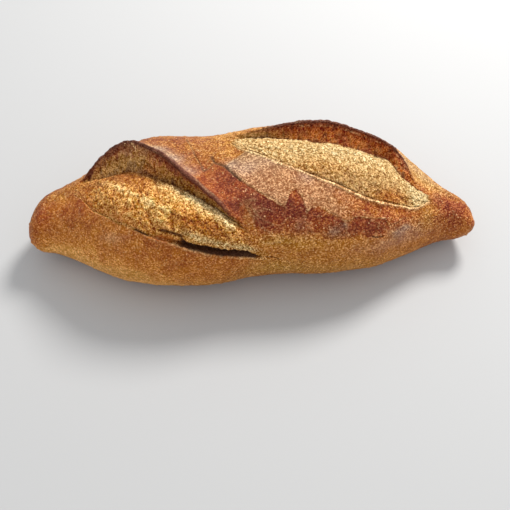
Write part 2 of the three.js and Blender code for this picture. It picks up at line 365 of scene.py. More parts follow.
# ---- cracks: half width and depth in mm, darkness of the shade painted in them, and a line of (place, angle) ----
CRACKS = [
    (0.8, 0.9, 1.0, [(-27, 11), (-24.5, 4.7), (-18, 0.7), (-12, -7), (-7, -13)]),
    (0.5, 0.6, 0.6, [(-7, -13), (4.5, -24), (15, -30), (19, -34)]),
    (0.6, 0.9, 1.0, [(81, -61.5), (84, -62.5), (88, -62.5)]),
    (
        0.45, 0.5, 0.8,
        [(-45.5, 36.5), (-38, 13.5), (-33.5, 3.3), (-32, -1.7), (-28, 0.7), (-25.5, 4.8)],
    ),
    (0.5, 0.6, 0.9, [(2, -76.5), (8, -77.5), (14, -79), (18, -82)]),
]
BLOOM_CRACKS = [
    (0.9, 0.9, 1.0, [(-76, -44.5), (-66.5, -49.3), (-60, -51.3)]),
    (1.1, 1.4, 1.0, [(-59, -44), (-53, -45.5), (-46.5, -48), (-44, -54)]),
    (0.5, 0.8, 0.8, [(-54, -27), (-52.5, -31), (-50, -33)]),
]
# thin pale edges of plates of crust
PALE_EDGES = [
    [(36.5, -39.5), (35, -47), (40, -55)],
    [(-2, -30), (2, -38), (8, -46), (18, -50), (24, -44)],
    [(84, -48), (90, -56), (98, -60), (104, -52)],
    [(-47.5, 44), (-38, 11.4), (-32, -1.2), (-29, 0), (-25.5, 5.3)],
    [(33.5, -8), (34.5, -26), (36.5, -39.5)],
    [(-3.5, -32.8), (1, -42.4), (3.5, -57)],
    [(-38.5, -8), (-30, -17), (-23, -23)],
    [(61.5, -48.1), (62.5, -56), (67, -62)],
]

# ---- soft spots: place, angle, reach along, reach round, amount ----
BASE_TOAST = 0.5  # how dark the crust is baked, from 0 to 1
# the spot at (-16, 42) makes the crust paler at the left end of the right ear: painted light
TOAST_SPOTS = [
    (-150, -15, 9, 60, 0.12), (-16, 42, 14, 16, -0.42), (0, 88, 140, 26, 0.12),
    (-9, -37, 8, 7, 0.24), (-64, 38, 12, 10, 0.12), (-33, 2, 6, 6, 0.12), (-117, -9, 12, 14, 0.12),
    (-32, -28, 5, 8, 0.12), (75, -40, 16, 6, 0.14), (-88, -43, 24, 7, 0.07),
    (-80, -78, 20, 12, -0.07), (52, -82, 30, 12, -0.1), (-128, -95, 26, 20, -0.62),
    (-90, -108, 45, 20, -0.62), (-95, -62, 22, 12, -0.14), (142, -25, 15, 40, 0.36),
    (-40, -112, 30, 14, -0.12), (-50, 20, 20, 22, 0.06), (20, 110, 60, 30, 0.04),
    (-45, 25, 22, 26, 0.1), (118, 30, 16, 22, -0.34), (-20, 110, 90, 22, -0.1),
    (60, 80, 60, 25, 0.08), (-60, 75, 40, 22, 0.06), (95, -62, 16, 8, -0.08),
    (-118, -68, 20, 14, -0.2), (-85, -80, 20, 12, -0.18), (5, -68, 14, 10, -0.2),
    (55, -66, 30, 6, -0.2), (126, 6, 14, 16, -0.4), (124, -43, 8, 12, -0.15),
    (-122, -55, 10, 12, -0.12), (-88, -46, 12, 6, -0.15),
]
OCHRE_SPOTS = [
    (60, -100, 58, 20, 1.0), (15, -92, 22, 12, 0.8), (-25, -112, 30, 14, 0.7),
    (122, -38, 7, 20, 0.9), (127, 6, 12, 14, 0.5), (35, -66, 32, 10, 0.6), (-90, -92, 25, 8, 0.6),
    (-3, -44, 4, 12, 0.45), (16, -63, 14, 4, 0.7), (118, -58, 8, 10, 0.3),
]
# bluish-grey patches of painted sheen on the front crust
PAINTED_GREY_SHEEN_SPOTS = [
    (55, -56, 5, 4, 0.9), (61.5, -50.5, 3, 3, 0.7), (99, -61, 6, 6, 1.0), (106, -56, 4, 4, 1.0),
    (31, -50, 4, 4, 0.5),
]
# pale patches of painted sheen on the crust
PAINTED_SHEEN_SPOTS = [
    (-64, 15, 7, 7, 0.8), (-53, 6, 8, 7, 0.9), (-42, -4, 7, 5, 0.7), (-14, 0, 6, 4, 0.7),
    (-3, -5, 8, 5, 0.6), (36, -14, 5, 6, 0.6), (-92, -51, 8, 5, 0.35), (16, 0, 12, 6, 0.4),
    (92, -72, 24, 9, 0.3), (110, -62, 12, 12, 0.3),
]
SKIN_SPOTS = [(112, 24, 20, 13, 0.8), (124, 10, 11, 14, 0.5)]
# of the left and the right bloom: how cream they are, their tone and their crags
BASE_CREAM = [0.08, 0.82]
CREAM_SPOTS = [
    [(-52, -8, 8, 5, -0.4)],
    [(70, 8, 34, 10, 0.25), (94, -28, 14, 7, -0.9), (40, -8, 30, 7, -0.3), (116, -20, 8, 16, 0.7)],
]
BASE_TONE = [-0.08, -0.06]
TONE_SPOTS = [
    [
        (-92, -35, 26, 12, 0.02), (-96, 5, 24, 10, -0.32), (-36, -24, 14, 8, 0.08),
        (-58, -6, 7, 5, -0.22), (-70, -14, 6, 5, -0.12), (-78, -8, 10, 8, -0.15),
        (-88, 3, 8, 6, -0.12), (-55, -33, 6, 5, 0.2), (-50, -9, 6, 5, -0.12),
        (-34, -20, 6, 6, 0.34), (-30, -34, 6, 5, 0.1),
    ],
    [
        (60, -18, 60, 12, -0.16), (60, 10, 36, 10, 0.05), (94, -28, 14, 7, -0.16),
        (116, -16, 7, 16, 0.16),
    ],
]
# streaks on the left bloom: radius in mm, cream, tone, ridge height in mm, line of (place, angle)
STREAKS = [
    (2.6, 0.22, 0.08, 0.9, [(-104, 4), (-97, -1), (-80, -17), (-64, -25), (-54, -30)]),
    (
        5.5, 0.65, 0.09, 0.5,
        [(-60, -8), (-54, -11), (-40, -18.5), (-30, -25), (-22, -32), (-14, -44)],
    ),
    (3.0, 0.7, 0.05, 0.0, [(-44, -46.5), (-40, -47.5), (-27, -54), (-8, -64), (12, -73)]),
    (6.0, 0.1, -0.02, 0.0, [(-112, 9), (-100, 5), (-85, -7)]),
    (4.6, -0.6, -0.18, -0.3, [(-52, -33), (-46, -35), (-33, -41), (-20, -49)]),
]
BASE_CRAG = 0.3
CRAG_SPOTS = [
    [(-70, -20, 28, 22, 0.35), (-25, -50, 24, 16, 0.1)],
    [(10, 10, 20, 12, 0.15), (95, -10, 20, 16, 0.1)],
]
FLAKE_SPOTS = [(-80, 20, 5, 3, 1.0), (-86, 25, 5, 2, 0.5), (-62, 8, 7, 2, 0.5), (104, 8, 4, 5, 0.6)]
# pale crumb on the walls; the spot at (-6, 31) is painted light on the right slash's wall at its
# left end, which lies in shade
CREAM_CRUMB = [
    (-104, 25, 6, 6, 0.5), (-92, 19, 9, 5, 0.6), (-76, 12, 8, 6, 0.7), (-6, 31, 16, 12, 1.0),
]
# a baked shelf on the left wall, crust bridging the left bloom, a dark nub on the rim
SHELF = [(-73, 5, 10, 5, 1.0)]
BRIDGE = [(-58, -51, 9, 3.5, 1.3)]
NUB = [(-114, 26, 4, 4, 1.0)]
# bulges of the crust, in mm
BULGES = [(156, -75, 7, 45, 2.2), (-98, 34, 12, 8, 0.8)]


# ---- the fine grid ----
LEAST_SCALE = 0.25  # mm for each degree


def grid_normals(points):
    """The outward direction at each point, and the area that the point stands for."""
    normals = np.cross(np.gradient(points, axis=0), np.gradient(points, axis=1))
    area = np.linalg.norm(normals, axis=-1)
    return normals / (area[..., None] + 1e-9), area


class Grid:
    """The fine grid over the loaf, and the noise that its relief and its masks both follow."""

    def __init__(self):
        x = section_places()
        rows = loaf_rows(x)
        self.kinds = rows.kinds
        self.angle = np.stack(rows.angles, axis=1)
        self.x = np.broadcast_to(x[:, None], self.angle.shape)
        self.points = surface_points(self.x, self.angle, np.stack(rows.offsets, axis=1))
        across = self.points[..., 1]
        across -= (across.min() + across.max()) / 2
        self.normals, self.area = grid_normals(self.points)
        self.share = np.broadcast_to(np.array(rows.shares)[None, :], self.angle.shape)
        self.scale = (half_width(self.x) * DEGREE).clip(LEAST_SCALE)  # mm for each degree round
        self.patchy = self.noise(9, 3, 3.1)
        self.fine = self.noise(2.2, 2, 8.4)

    def rows(self, kind, side=None):
        """1 on the rows of a kind and side, and 0 on the others."""
        found = [k[0] == kind and side in (None, k[1]) for k in self.kinds]
        return np.array(found, float)[None, :]

    def noise(self, size, octaves, shift, stretch=(1, 1, 1)):
        return fractal(self.points, size, octaves, shift, stretch)

    def spots(self, places, base=0):
        """A base amount, changed by soft spots."""
        amount = np.full(self.x.shape, float(base))
        for place, angle, along, around, change in places:
            from_x, from_angle = (self.x - place) / along, (self.angle - angle) / around
            amount += change * np.exp(-from_x ** 2 - from_angle ** 2)
        return amount

    def distance(self, line):
        """Distance in mm from each surface point to a line of (place, angle) points."""
        best = np.full(self.x.shape, 1e9)
        for (xa, angle_a), (xb, angle_b) in zip(line, line[1:]):
            dx, dy = xb - xa, (angle_b - angle_a) * self.scale
            from_x, from_y = self.x - xa, (self.angle - angle_a) * self.scale
            t = np.clip((from_x * dx + from_y * dy) / (dx * dx + dy * dy), 0, 1)
            best = np.minimum(best, np.hypot(from_x - dx * t, from_y - dy * t))
        return best

    def angle_of(self, line):
        """The angle of a line of (place, angle) points at each place."""
        return np.interp(self.x, *np.array(line).T)

    def depth_inside(self, top, low):
        """How far inside the strip between two lines each point lies, in mm."""
        inside = np.minimum(self.angle_of(top) - self.angle, self.angle - self.angle_of(low))
        return inside * self.scale


def near(distance, reach):
    """1 where the distance is 0, and softly less away from it."""
    return np.exp(-(distance / reach) ** 2)


# ---- where each part of the slashes shows ----
SHALLOW = 3  # below this depth or rise, in mm, a slash's colours fade
TEAR_OPENS = (1.5, 4)  # the tear looks open between these depths
WALL_BAKES = (10, 38)  # the right wall is baked dark from here on
RIGHT_RIM_DARKENS = (0, 16)
RIM_TOP_SHARE, RIM_WALL_SHARE = 0.05, 0.08  # how far the dark rim reaches onto ear and wall
BAND_WIDTH = (1.2, 0.8)  # of the brown band behind each rim, in mm
LIP_WIDTH = (0.7, 0.9)  # of the line of flakes along each lip, in mm
LEAST_LIP = (0, 0.6)  # how much of that line is unbroken
LEFT_LIP_CLEARS = (-85, -50)


def mark_slashes(grid):
    """Where the parts of both slashes show, and how cream, light and craggy the blooms are."""
    names = ("bloom", "wall", "baked", "rim", "band", "lip", "cream", "tone", "crag", "opened")
    marks = SimpleNamespace(**{name: np.zeros(grid.angle.shape) for name in names})
    for side, slash in enumerate(SLASHES):
        shown = slash["shown"](grid.x + 4 * grid.patchy + grid.fine)
        torn = soft_step(*TEAR_OPENS, slash["tear"](grid.x + 3 * grid.patchy))
        bloom, wall, ear = (grid.rows(kind, side) for kind in ("bloom", "wall", "ear"))
        here = bloom + grid.rows("tear", side) * (1 - torn)
        marks.bloom += here * shown
        marks.cream += here * grid.spots(CREAM_SPOTS[side], BASE_CREAM[side])
        marks.tone += here * grid.spots(TONE_SPOTS[side], BASE_TONE[side])
        marks.crag += here * grid.spots(CRAG_SPOTS[side], BASE_CRAG)
        depth_share = np.clip(slash["depth"](grid.x) / SHALLOW, 0, 1)
        marks.wall += wall * depth_share
        marks.opened += grid.rows("tear", side) * depth_share + here * shown
        if side:
            marks.baked += wall * soft_step(*WALL_BAKES, grid.x)
        raised = np.clip(slash["rise"](grid.x) / SHALLOW, 0, 1)
        if side:
            raised = raised * soft_step(*RIGHT_RIM_DARKENS, grid.x)
        edge = ear * near(grid.share, RIM_TOP_SHARE) + grid.rows("rim", side)
        edge = edge + wall * near(1 - grid.share, RIM_WALL_SHARE)
        marks.rim += raised * edge
        behind_rim = grid.share * EAR_ANGLE * grid.scale
        marks.band += raised * ear * near(behind_rim, BAND_WIDTH[side])
        marks.lip = np.maximum(marks.lip, lip_line(grid, side))
    fade_left_bloom(grid, marks)
    return marks


def lip_line(grid, side):
    """The broken line of pale flakes along a lip."""
    slash = SLASHES[side]
    away = (grid.angle - slash["lip"](grid.x)) * grid.scale + 1.1 * grid.patchy + 0.3 * grid.fine
    clear = 1 if side else 0.2 + 0.35 * soft_step(*LEFT_LIP_CLEARS, grid.x)
    unbroken = soft_step(-0.35, 0.1, grid.noise(5, 2, 14.0 + side))
    unbroken = LEAST_LIP[side] + (1 - LEAST_LIP[side]) * unbroken
    line = near(away + 0.3, LIP_WIDTH[side]) * slash["shown"](grid.x)
    return line * clear * unbroken


def fade_left_bloom(grid, marks):
    """Lets the left bloom run into the crust at both ends and at the bridge across its tear."""
    x, patchy = grid.x, grid.patchy
    left_fade = (1 - soft_step(-90, -55, x)) * (1 - soft_step(0, 0.45, grid.share + 0.4 * patchy))
    right_fade = soft_step(-14, 4, x + 4 * patchy)
    right_fade = right_fade * soft_step(0.3, 0.7, grid.share + 0.3 * patchy)
    marks.bloom *= 1 - (0.75 * left_fade + 0.85 * right_fade) * grid.rows("bloom", 0)
    marks.bloom *= 1 - soft_step(0.2, 0.8, grid.spots(BRIDGE) + 0.2 * grid.fine)


def add_streaks(grid, marks):
    """Paler and darker streaks on the left bloom. Returns their relief in mm."""
    relief = np.zeros(grid.angle.shape)
    for radius, more_cream, more_tone, ridge, line in STREAKS:
        streak = near(grid.distance(line) + 1.5 * grid.patchy, radius) * grid.rows("bloom", 0)
        marks.cream += more_cream * streak
        marks.tone += more_tone * streak
        relief += ridge * streak
    return relief


# ---- the skin and the plates between the slashes ----
SKIN_ENDS = ((-20, -15), (98, 110))
SKIN_LOWEST = -60
RED_ENDS = ((-37, -34), (93, 96))
PATCH = (12.5, -61)  # a small dark patch on the front, ringed by a pale edge
PATCH_REACH = (7, 3.4)


def mark_skin(grid, outside):
    """The pale skin, the thicker layer it belongs to, the step at its edge and the red plates."""
    x, patchy, fine = grid.x, grid.patchy, grid.fine
    (begins, begun), (ends, ended) = SKIN_ENDS
    length = soft_step(begins, begun, x) * (1 - soft_step(ends, ended, x))
    inward = grid.depth_inside(SKIN_TOP, SKIN_EDGE) + patchy + 0.6 * fine
    layer = soft_step(-0.6, 1.2, inward) * length * outside * (grid.angle > SKIN_LOWEST)
    skin = layer * (1 - soft_step(*SKIN_FADES, x + 12 * patchy))
    skin *= 1 - 0.15 * soft_step(12, 34, x)
    skin = np.maximum(skin, grid.spots(SKIN_SPOTS) * outside)
    lower_half = grid.angle < (grid.angle_of(SKIN_TOP) + grid.angle_of(SKIN_EDGE)) / 2
    step = near(inward - 0.5, 0.45) * length * outside * lower_half
    step = step * soft_step(-0.3, 0.2, grid.noise(6, 2, 17.0))
    (begins, begun), (ends, ended) = RED_ENDS
    inward = grid.depth_inside(RED_TOP, RED_LOW) + 0.8 * patchy + 0.5 * fine
    red = soft_step(-0.6, 0.9, inward) * outside * soft_step(begins, begun, x)
    red *= 1 - soft_step(ends, ended, x)
    return SimpleNamespace(skin=skin, layer=layer, step=step, red=red)


def mark_cracks(grid, marks, outside):
    """How dark the painted shade in cracks, creases and the gap behind the right lip is, and how
    deep the cracks are in the crust and the left bloom.
    """
    dark, deep, bloom_deep = (np.zeros(grid.angle.shape) for _ in range(3))
    left_slash = grid.rows("bloom", 0) + grid.rows("tear", 0)
    for width, depth, darkness, line in CRACKS:
        shape = near(grid.distance(line) + 0.25 * np.abs(grid.fine), width)
        dark = np.maximum(dark, shape * darkness)
        deep = np.maximum(deep, depth * shape)
    for width, depth, darkness, line in BLOOM_CRACKS:
        shape = near(grid.distance(line) + 0.6 * np.abs(grid.patchy), width) * left_slash
        dark = np.maximum(dark, shape * darkness)
        bloom_deep += depth * shape
    dark *= np.maximum(outside, left_slash)
    # painted shade in the creases under the ears, and painted shadow in the gap behind the right
    # slash's lip
    crease = near(grid.share, 0.1) * marks.wall
    crease = crease + near(1 - grid.share, 0.03) * marks.bloom * grid.rows("bloom")
    shadow = 0.5 * soft_step(-84, -70, grid.x) + 0.5 * soft_step(-30, -20, grid.x) * (grid.x < 10)
    dark = np.maximum(dark, crease * shadow)
    gap = grid.rows("tear", 1) * SLASHES[1]["shown"](grid.x) * (1 - marks.lip)
    dark = np.maximum(dark, 0.22 * gap * soft_step(0, 40, grid.x))
    return SimpleNamespace(dark=dark, deep=deep, bloom_deep=bloom_deep)


def mark_plates(grid, outside, skin):
    """The crust's plates: where they show, a value for each, their pale edges and the patch."""
    patchy = grid.patchy
    shifts = np.stack([patchy, np.roll(patchy, 7, 0), np.roll(patchy, 5, 1)], axis=-1)
    _, gap, value = cells(grid.points + 3.0 * shifts, 15, 1.3)
    drawn = np.minimum.reduce([grid.distance(line) for line in PALE_EDGES])
    drawn = drawn + 0.6 * np.abs(patchy) + 0.4 * np.abs(grid.fine)
    where = soft_step(-80, -66, grid.angle) * (1 - soft_step(50, 90, grid.angle))
    where = where * soft_step(-50, -20, grid.x) * soft_step(-0.2, 0.25, grid.noise(24, 2, 9.0))
    edge = np.maximum(0.5 * near(gap, 0.03) * where, 0.8 * near(drawn, 0.55)) * outside
    from_x = (grid.x - PATCH[0]) / PATCH_REACH[0]
    from_angle = (grid.angle - PATCH[1]) / PATCH_REACH[1]
    ring = np.hypot(from_x, from_angle) + 0.3 * grid.fine
    edge = np.maximum(edge, 0.8 * near(ring - 1, 0.18)) * (1 - 0.6 * skin)
    return SimpleNamespace(where=where, value=value, edge=edge, patch=near(ring, 0.7))


# ---- relief ----
# heights of the relief, in mm
SWELLS, PATCHES, GRIT = 0.7, 0.28, 0.13
PLATES, PLATE_EDGES, WRINKLES = 0.35, 0.25, 0.3
SKIN_LAYER, SKIN_STEP, FLAKES = 0.45, 0.35, 0.5
SPRAYS, CRUMBS, LOOSE_CRUMBS, GRAINS = 1.3, 1.2, 0.4, 0.6
FIBRES, TORN_CRUMB, PORES = 1.0, 1.3, 0.9
BLISTERS = 2200
SEED = 7
LEAST_BLISTER = 0.6
BLISTER_SPREAD = 1.3


def add_blisters(points, weight, relief, mask):
    """Small domes of trapped gas, scattered with a seeded draw, thickest where weight is high."""
    rng = np.random.default_rng(SEED)
    flat = points.reshape(-1, 3)
    tree = kdtree.KDTree(len(flat))
    for i, p in enumerate(flat.tolist()):
        tree.insert(p, i)
    tree.balance()
    chance = weight.ravel() / weight.sum()
    for i in rng.choice(len(flat), BLISTERS, p=chance).tolist():
        radius = LEAST_BLISTER + BLISTER_SPREAD * rng.random() ** 4
        top = radius * (0.14 + 0.12 * rng.random())
        for _, j, distance in tree.find_range(flat[i].tolist(), radius):
            dome = (1 - (distance / radius) ** 2) ** 2
            relief.ravel()[j] += top * dome
            mask.ravel()[j] = max(mask.ravel()[j], dome)


def bloom_relief(grid, marks):
    """Sprays of crumb that run down from the creases, crumbs and grains, in mm."""
    right_bloom = 40 * grid.rows("bloom", 1)
    downhill = [grid.x + 12 * grid.share, grid.share * 14, right_bloom + grid.share * 0]
    sprays = 1 - 2 * np.abs(fractal(np.stack(downhill, axis=-1), 5.0, 3, 6.0))
    crumbs = grid.noise(3.0, 4, 7.0)
    grain, _, _ = cells(grid.points, 1.7, 4.0)
    crags = marks.crag * (SPRAYS * sprays + CRUMBS * crumbs)
    return crags + LOOSE_CRUMBS * crumbs + GRAINS * (0.55 - grain)


def wall_pores(grid):
    """Round pores in the torn crumb of the walls."""
    squashed = np.stack([grid.x, grid.points[..., 1] * 0.6, grid.points[..., 2] * 0.6], axis=-1)
    distance, _, _ = cells(squashed, 3.4, 6.6)
    return soft_step(0.42, 0.12, distance)


def wall_flakes(grid, marks, wall_share):
    """Loose flakes on the walls, and the broken line of them under the right rim."""
    flakes = grid.spots(FLAKE_SPOTS) * soft_step(0.0, 0.3, grid.noise(2.5, 2, 19.0)) * marks.wall
    under_rim = near(wall_share - 0.8, 0.05) * marks.baked * soft_step(10, 30, grid.x)
    under_rim = under_rim * soft_step(-0.15, 0.15, grid.noise(2.5, 2, 21.0))
    return np.maximum(flakes, 0.4 * under_rim)


def shape_loaf():
    """The surface points with all their relief, and the masks for the material."""
    grid = Grid()
    patchy, fine = grid.patchy, grid.fine
    marks = mark_slashes(grid)
    streak_relief = add_streaks(grid, marks)
    wall, wall_share = marks.wall, grid.share * grid.rows("wall")
    crust = np.clip(1 - marks.bloom - wall - marks.opened * grid.rows("tear"), 0, 1)
    outside = np.clip(1 - wall - marks.opened, 0, 1)
    between = mark_skin(grid, outside)
    cracks = mark_cracks(grid, marks, outside)
    plates = mark_plates(grid, outside, between.skin)
    pores = wall_pores(grid)
    torn_crumb = grid.noise(3.6, 3, 23.0)
    flakes = wall_flakes(grid, marks, wall_share)
    bloom = bloom_relief(grid, marks) + streak_relief - cracks.bloom_deep

    relief = crust * (SWELLS * grid.noise(34, 2, 1.0) + PATCHES * patchy + GRIT * fine)
    relief += grid.spots(BULGES) + outside * plates.where * PLATES * plates.value
    relief += PLATE_EDGES * plates.edge
    wrinkles = 1 - 2 * np.abs(grid.noise(4.5, 2, 27.0, stretch=(1, 5, 5)))
    relief += WRINKLES * wrinkles * crust * (1 - soft_step(-152, -138, grid.x))
    relief += SKIN_LAYER * between.layer + SKIN_STEP * between.step
    relief -= cracks.deep * outside
    relief += bloom * marks.bloom * grid.rows("bloom")
    fibre_space = np.stack([grid.x, wall_share * 5, grid.share * 0], axis=-1)
    fibres = fractal(fibre_space, 2.8, 3, 2.2)
    torn_relief = FIBRES * fibres + TORN_CRUMB * torn_crumb - PORES * pores
    relief += wall * np.sin(math.pi * wall_share) * torn_relief
    relief += marks.rim * (0.5 * grid.noise(5, 3, 4.4) + 0.25 * fine)
    relief += marks.lip * (0.8 + 0.5 * patchy + 0.4 * fine)
    relief += FLAKES * flakes
    off_base = soft_step(0.5, 5, grid.points[..., 2])
    blister = np.zeros(grid.angle.shape)
    weight = crust * off_base * grid.area * (0.4 + soft_step(-0.2, 0.5, patchy))
    add_blisters(grid.points, weight, relief, blister)
    shaped = grid.points + grid.normals * (relief * off_base)[..., None]
    shaped[..., 2] = np.maximum(shaped[..., 2], 0)

    toast = grid.spots(TOAST_SPOTS, BASE_TOAST)
    toast += grid.spots(RED_SPOTS) * (0.35 + 0.65 * between.red) + 0.12 * between.red
    toast += 0.12 * grid.noise(26, 3, 11.0) + 0.1 * patchy
    toast += 0.08 * (plates.value - 0.5) * plates.where + 0.16 * plates.patch
    on_top = soft_step(-10, 20, grid.angle) * (1 - soft_step(35, 60, grid.angle))
    sharper = 0.55 * np.maximum(soft_step(-40, 10, grid.x), on_top)
    sharper = sharper * (1 - 0.7 * soft_step(-60, -66, grid.angle))
    torn = grid.rows("tear", 0) * soft_step(*TEAR_OPENS, SLASHES[0]["tear"](grid.x + 3 * patchy))
    masks = {
        "toast": toast,
        "tan": soft_step(-16, 12, grid.angle) * (1 - marks.bloom) * (1 - wall),
        "ochre": grid.spots(OCHRE_SPOTS) * crust,
        # bluish-grey patches of painted sheen
        "painted_grey_sheen": grid.spots(PAINTED_GREY_SHEEN_SPOTS) * crust,
        # pale patches of painted sheen
        "painted_sheen": grid.spots(PAINTED_SHEEN_SPOTS) * outside * (1 - between.red),
        "skin": between.skin,
        "blister": blister,
        # how strongly the grains show, as flecks and partly as painted light and shade
        "grainy": 1.05 + sharper * crust * (1 - between.skin),
        "underside": 1 - soft_step(0.2, 9, grid.points[..., 2]),
        # painted shade in the cracks, the creases under the ears and the gap behind the right lip
        "crack_and_crease_shade": cracks.dark,
        # the open tear, painted dark as the shade inside it
        "torn": torn,
        "bloom": marks.bloom,
        "cream": marks.cream.clip(0, 1),
        # the crumb's relief height, for painted light on its tops and painted shade in its hollows,
        # plus its own tone
        "painted_crumb_light_and_tone": 0.18 * bloom + marks.tone,
        "across": grid.share,
        "wall": wall,
        "wall_share": wall_share,
        # pale crumb, with painted light on the right wall's left end
        "crumb": grid.spots(CREAM_CRUMB) * grid.rows("wall"),
        "torn_crumb": torn_crumb * wall,
        # pores, painted dark as the shade inside them
        "pores": pores * wall * (1 - 0.5 * marks.baked),
        "baked": np.maximum(marks.baked, grid.spots(SHELF) * wall).clip(0, 1),
        "band": marks.band,
        "rim": np.maximum(marks.rim, grid.spots(NUB)),
        "flakes": np.maximum.reduce([marks.lip, 0.7 * between.step, 0.35 * plates.edge, flakes]),
    }
    return shaped, masks


# ---- the mesh ----
TIP_OUT = 0.05  # how far the tips' points stand out, in mm


def loaf_object(shaped, masks):
    """The loaf's mesh, closed by a point at each tip, with the masks on its points."""
    columns, row_count = shaped.shape[0], shaped.shape[1] - 1
    shaped = shaped[:, :row_count]
    left_tip = shaped[0].mean(axis=0) - (TIP_OUT, 0, 0)
    right_tip = shaped[-1].mean(axis=0) + (TIP_OUT, 0, 0)
    vertices = np.concatenate([left_tip[None], shaped.reshape(-1, 3), right_tip[None]]) * MM
    corner = 1 + np.arange(columns)[:, None] * row_count + np.arange(row_count)[None, :]
    beside = np.roll(corner, -1, axis=1)
    quads = np.stack([corner[:-1], corner[1:], beside[1:], beside[:-1]], axis=-1).reshape(-1, 4)
    last = len(vertices) - 1
    faces = quads.tolist()
    faces += [(0, one, other) for one, other in zip(corner[0].tolist(), beside[0].tolist())]
    faces += [(last, other, one) for one, other in zip(corner[-1].tolist(), beside[-1].tolist())]
    mesh = bpy.data.meshes.new("rye_loaf")
    mesh.from_pydata(vertices.tolist(), [], faces)
    mesh.shade_smooth()
    for name, values in masks.items():
        values = np.broadcast_to(values, masks["toast"].shape)[:, :row_count]
        padded = np.concatenate([[values[0].mean()], values.ravel(), [values[-1].mean()]])
        attribute = mesh.attributes.new(name, "FLOAT", "POINT")
        attribute.data.foreach_set("value", padded.astype(np.float32))
    mesh.update()
    loaf = bpy.data.objects.new("rye_loaf", mesh)
    bpy.context.collection.objects.link(loaf)
    return loaf


# ---- material ----
class Shader:
    """A short way to write a material's nodes."""

    def __init__(self, name):
        self.material = bpy.data.materials.new(name)
        self.material.use_nodes = True
        self.nodes = self.material.node_tree.nodes
        self.links = self.material.node_tree.links
        self.surface = self.nodes["Principled BSDF"]

    def node(self, kind, inputs=None, **settings):
        made = self.nodes.new(kind)
        for name, value in settings.items():
            setattr(made, name, value)
        for name, value in (inputs or {}).items():
            self.put(made.inputs[name], value)
        return made

    def put(self, socket, value):
        if isinstance(value, bpy.types.NodeSocket):
            self.links.new(value, socket)
        else:
            socket.default_value = value

    def mask(self, name):
        return self.node("ShaderNodeAttribute", attribute_name=name).outputs["Fac"]

    def math(self, operation, a, b=0.0, clamp=False):
        made = self.node("ShaderNodeMath", {0: a, 1: b}, operation=operation, use_clamp=clamp)
        return made.outputs[0]

    def add(self, a, b):
        return self.math("ADD", a, b)

    def less(self, a, b):
        return self.math("SUBTRACT", a, b)

    def times(self, a, b):
        return self.math("MULTIPLY", a, b)

    def swing(self, value, amount):
        """A value from 0 to 1 as a change of either sign."""
        return self.times(self.less(value, 0.5), amount)

    def some(self, name, amount):
        """A mask times an amount."""
        return self.times(self.mask(name), amount)

    def step(self, value, low, high):
        inputs = {0: value, 1: low, 2: high}
        made = self.node("ShaderNodeMapRange", inputs, interpolation_type="SMOOTHSTEP")
        return made.outputs[0]

    def between(self, share, start, end):
        """From start, where the share is 0, to end, where it is 1."""
        return self.node("ShaderNodeMapRange", {0: share, 3: start, 4: end}).outputs[0]

    def vector(self, operation, a, b):
        """Works on colours. To scale one, the second value is a number."""
        place = 3 if operation == "SCALE" else 1
        return self.node("ShaderNodeVectorMath", {0: a, place: b}, operation=operation).outputs[0]

    def mix(self, share, a, b):
        made = self.node("ShaderNodeMix", data_type="RGBA")
        self.put(made.inputs[0], share)
        self.put(made.inputs[6], a)
        self.put(made.inputs[7], b)
        return made.outputs[2]

    def ramp(self, share, stops):
        made = self.node("ShaderNodeValToRGB", {0: share})
        elements = made.color_ramp.elements
        while len(elements) < len(stops):
            elements.new(0.5)
        for element, (place, colour) in zip(elements, stops):
            element.position = place
            element.color = (*colour, 1)
        return made.outputs[0]

    def noise(self, size, detail, rough, place=None):
        inputs = {"Scale": 1 / (size * MM), "Detail": detail, "Roughness": rough}
        made = self.node("ShaderNodeTexNoise", inputs)
        self.put(made.inputs["Vector"], place or self.place)
        return made.outputs["Fac"]

    def dots(self, size):
        made = self.node("ShaderNodeTexVoronoi", {"Scale": 1 / (size * MM)}, feature="F1")
        self.put(made.inputs["Vector"], self.place)
        return made


# how baked the crust is, from pale to dark
TOAST_STOPS = [
    (0.0, (0.74, 0.345, 0.08)), (0.25, (0.57, 0.205, 0.032)), (0.5, (0.43, 0.134, 0.02)),
    (0.75, (0.285, 0.057, 0.009)), (1.0, (0.155, 0.027, 0.006)),
]
# the blooms, from the hollows to the tops of their crumbs: darker in the hollows as painted shade,
# lighter on the tops as painted light
TAN_BLOOM_STOPS = [
    (0.2, (0.28, 0.085, 0.012)), (0.42, (0.5, 0.19, 0.03)), (0.58, (0.66, 0.305, 0.06)),
    (0.8, (0.86, 0.55, 0.18)),
]
CREAM_BLOOM_STOPS = [
    (0.2, (0.31, 0.165, 0.056)), (0.42, (0.455, 0.28, 0.104)), (0.58, (0.57, 0.392, 0.172)),
    (0.8, (0.73, 0.59, 0.34)),
]
# the torn walls under the ears, from the crease up to the rim; both ramps start dark at the crease
# as painted shade
CRUMB_STOPS = [
    (0.0, (0.18, 0.07, 0.02)), (0.12, (0.4, 0.18, 0.036)), (0.42, (0.435, 0.202, 0.045)),
    (0.55, (0.34, 0.105, 0.03)), (0.7, (0.25, 0.066, 0.024)), (1.0, (0.16, 0.042, 0.02)),
]
BAKED_STOPS = [
    (0.0, (0.18, 0.052, 0.014)), (0.2, (0.4, 0.14, 0.026)), (0.5, (0.5, 0.135, 0.02)),
    (0.75, (0.32, 0.066, 0.012)), (1.0, (0.12, 0.03, 0.013)),
]
WALL_RED = (0.22, 0.044, 0.014, 1)
SKIN_PALE = (0.53, 0.275, 0.132, 1)
SKIN_DARK = (0.34, 0.135, 0.05, 1)
OCHRE = (0.58, 0.29, 0.056, 1)
OCHRE_DARK = (0.33, 0.125, 0.02, 1)
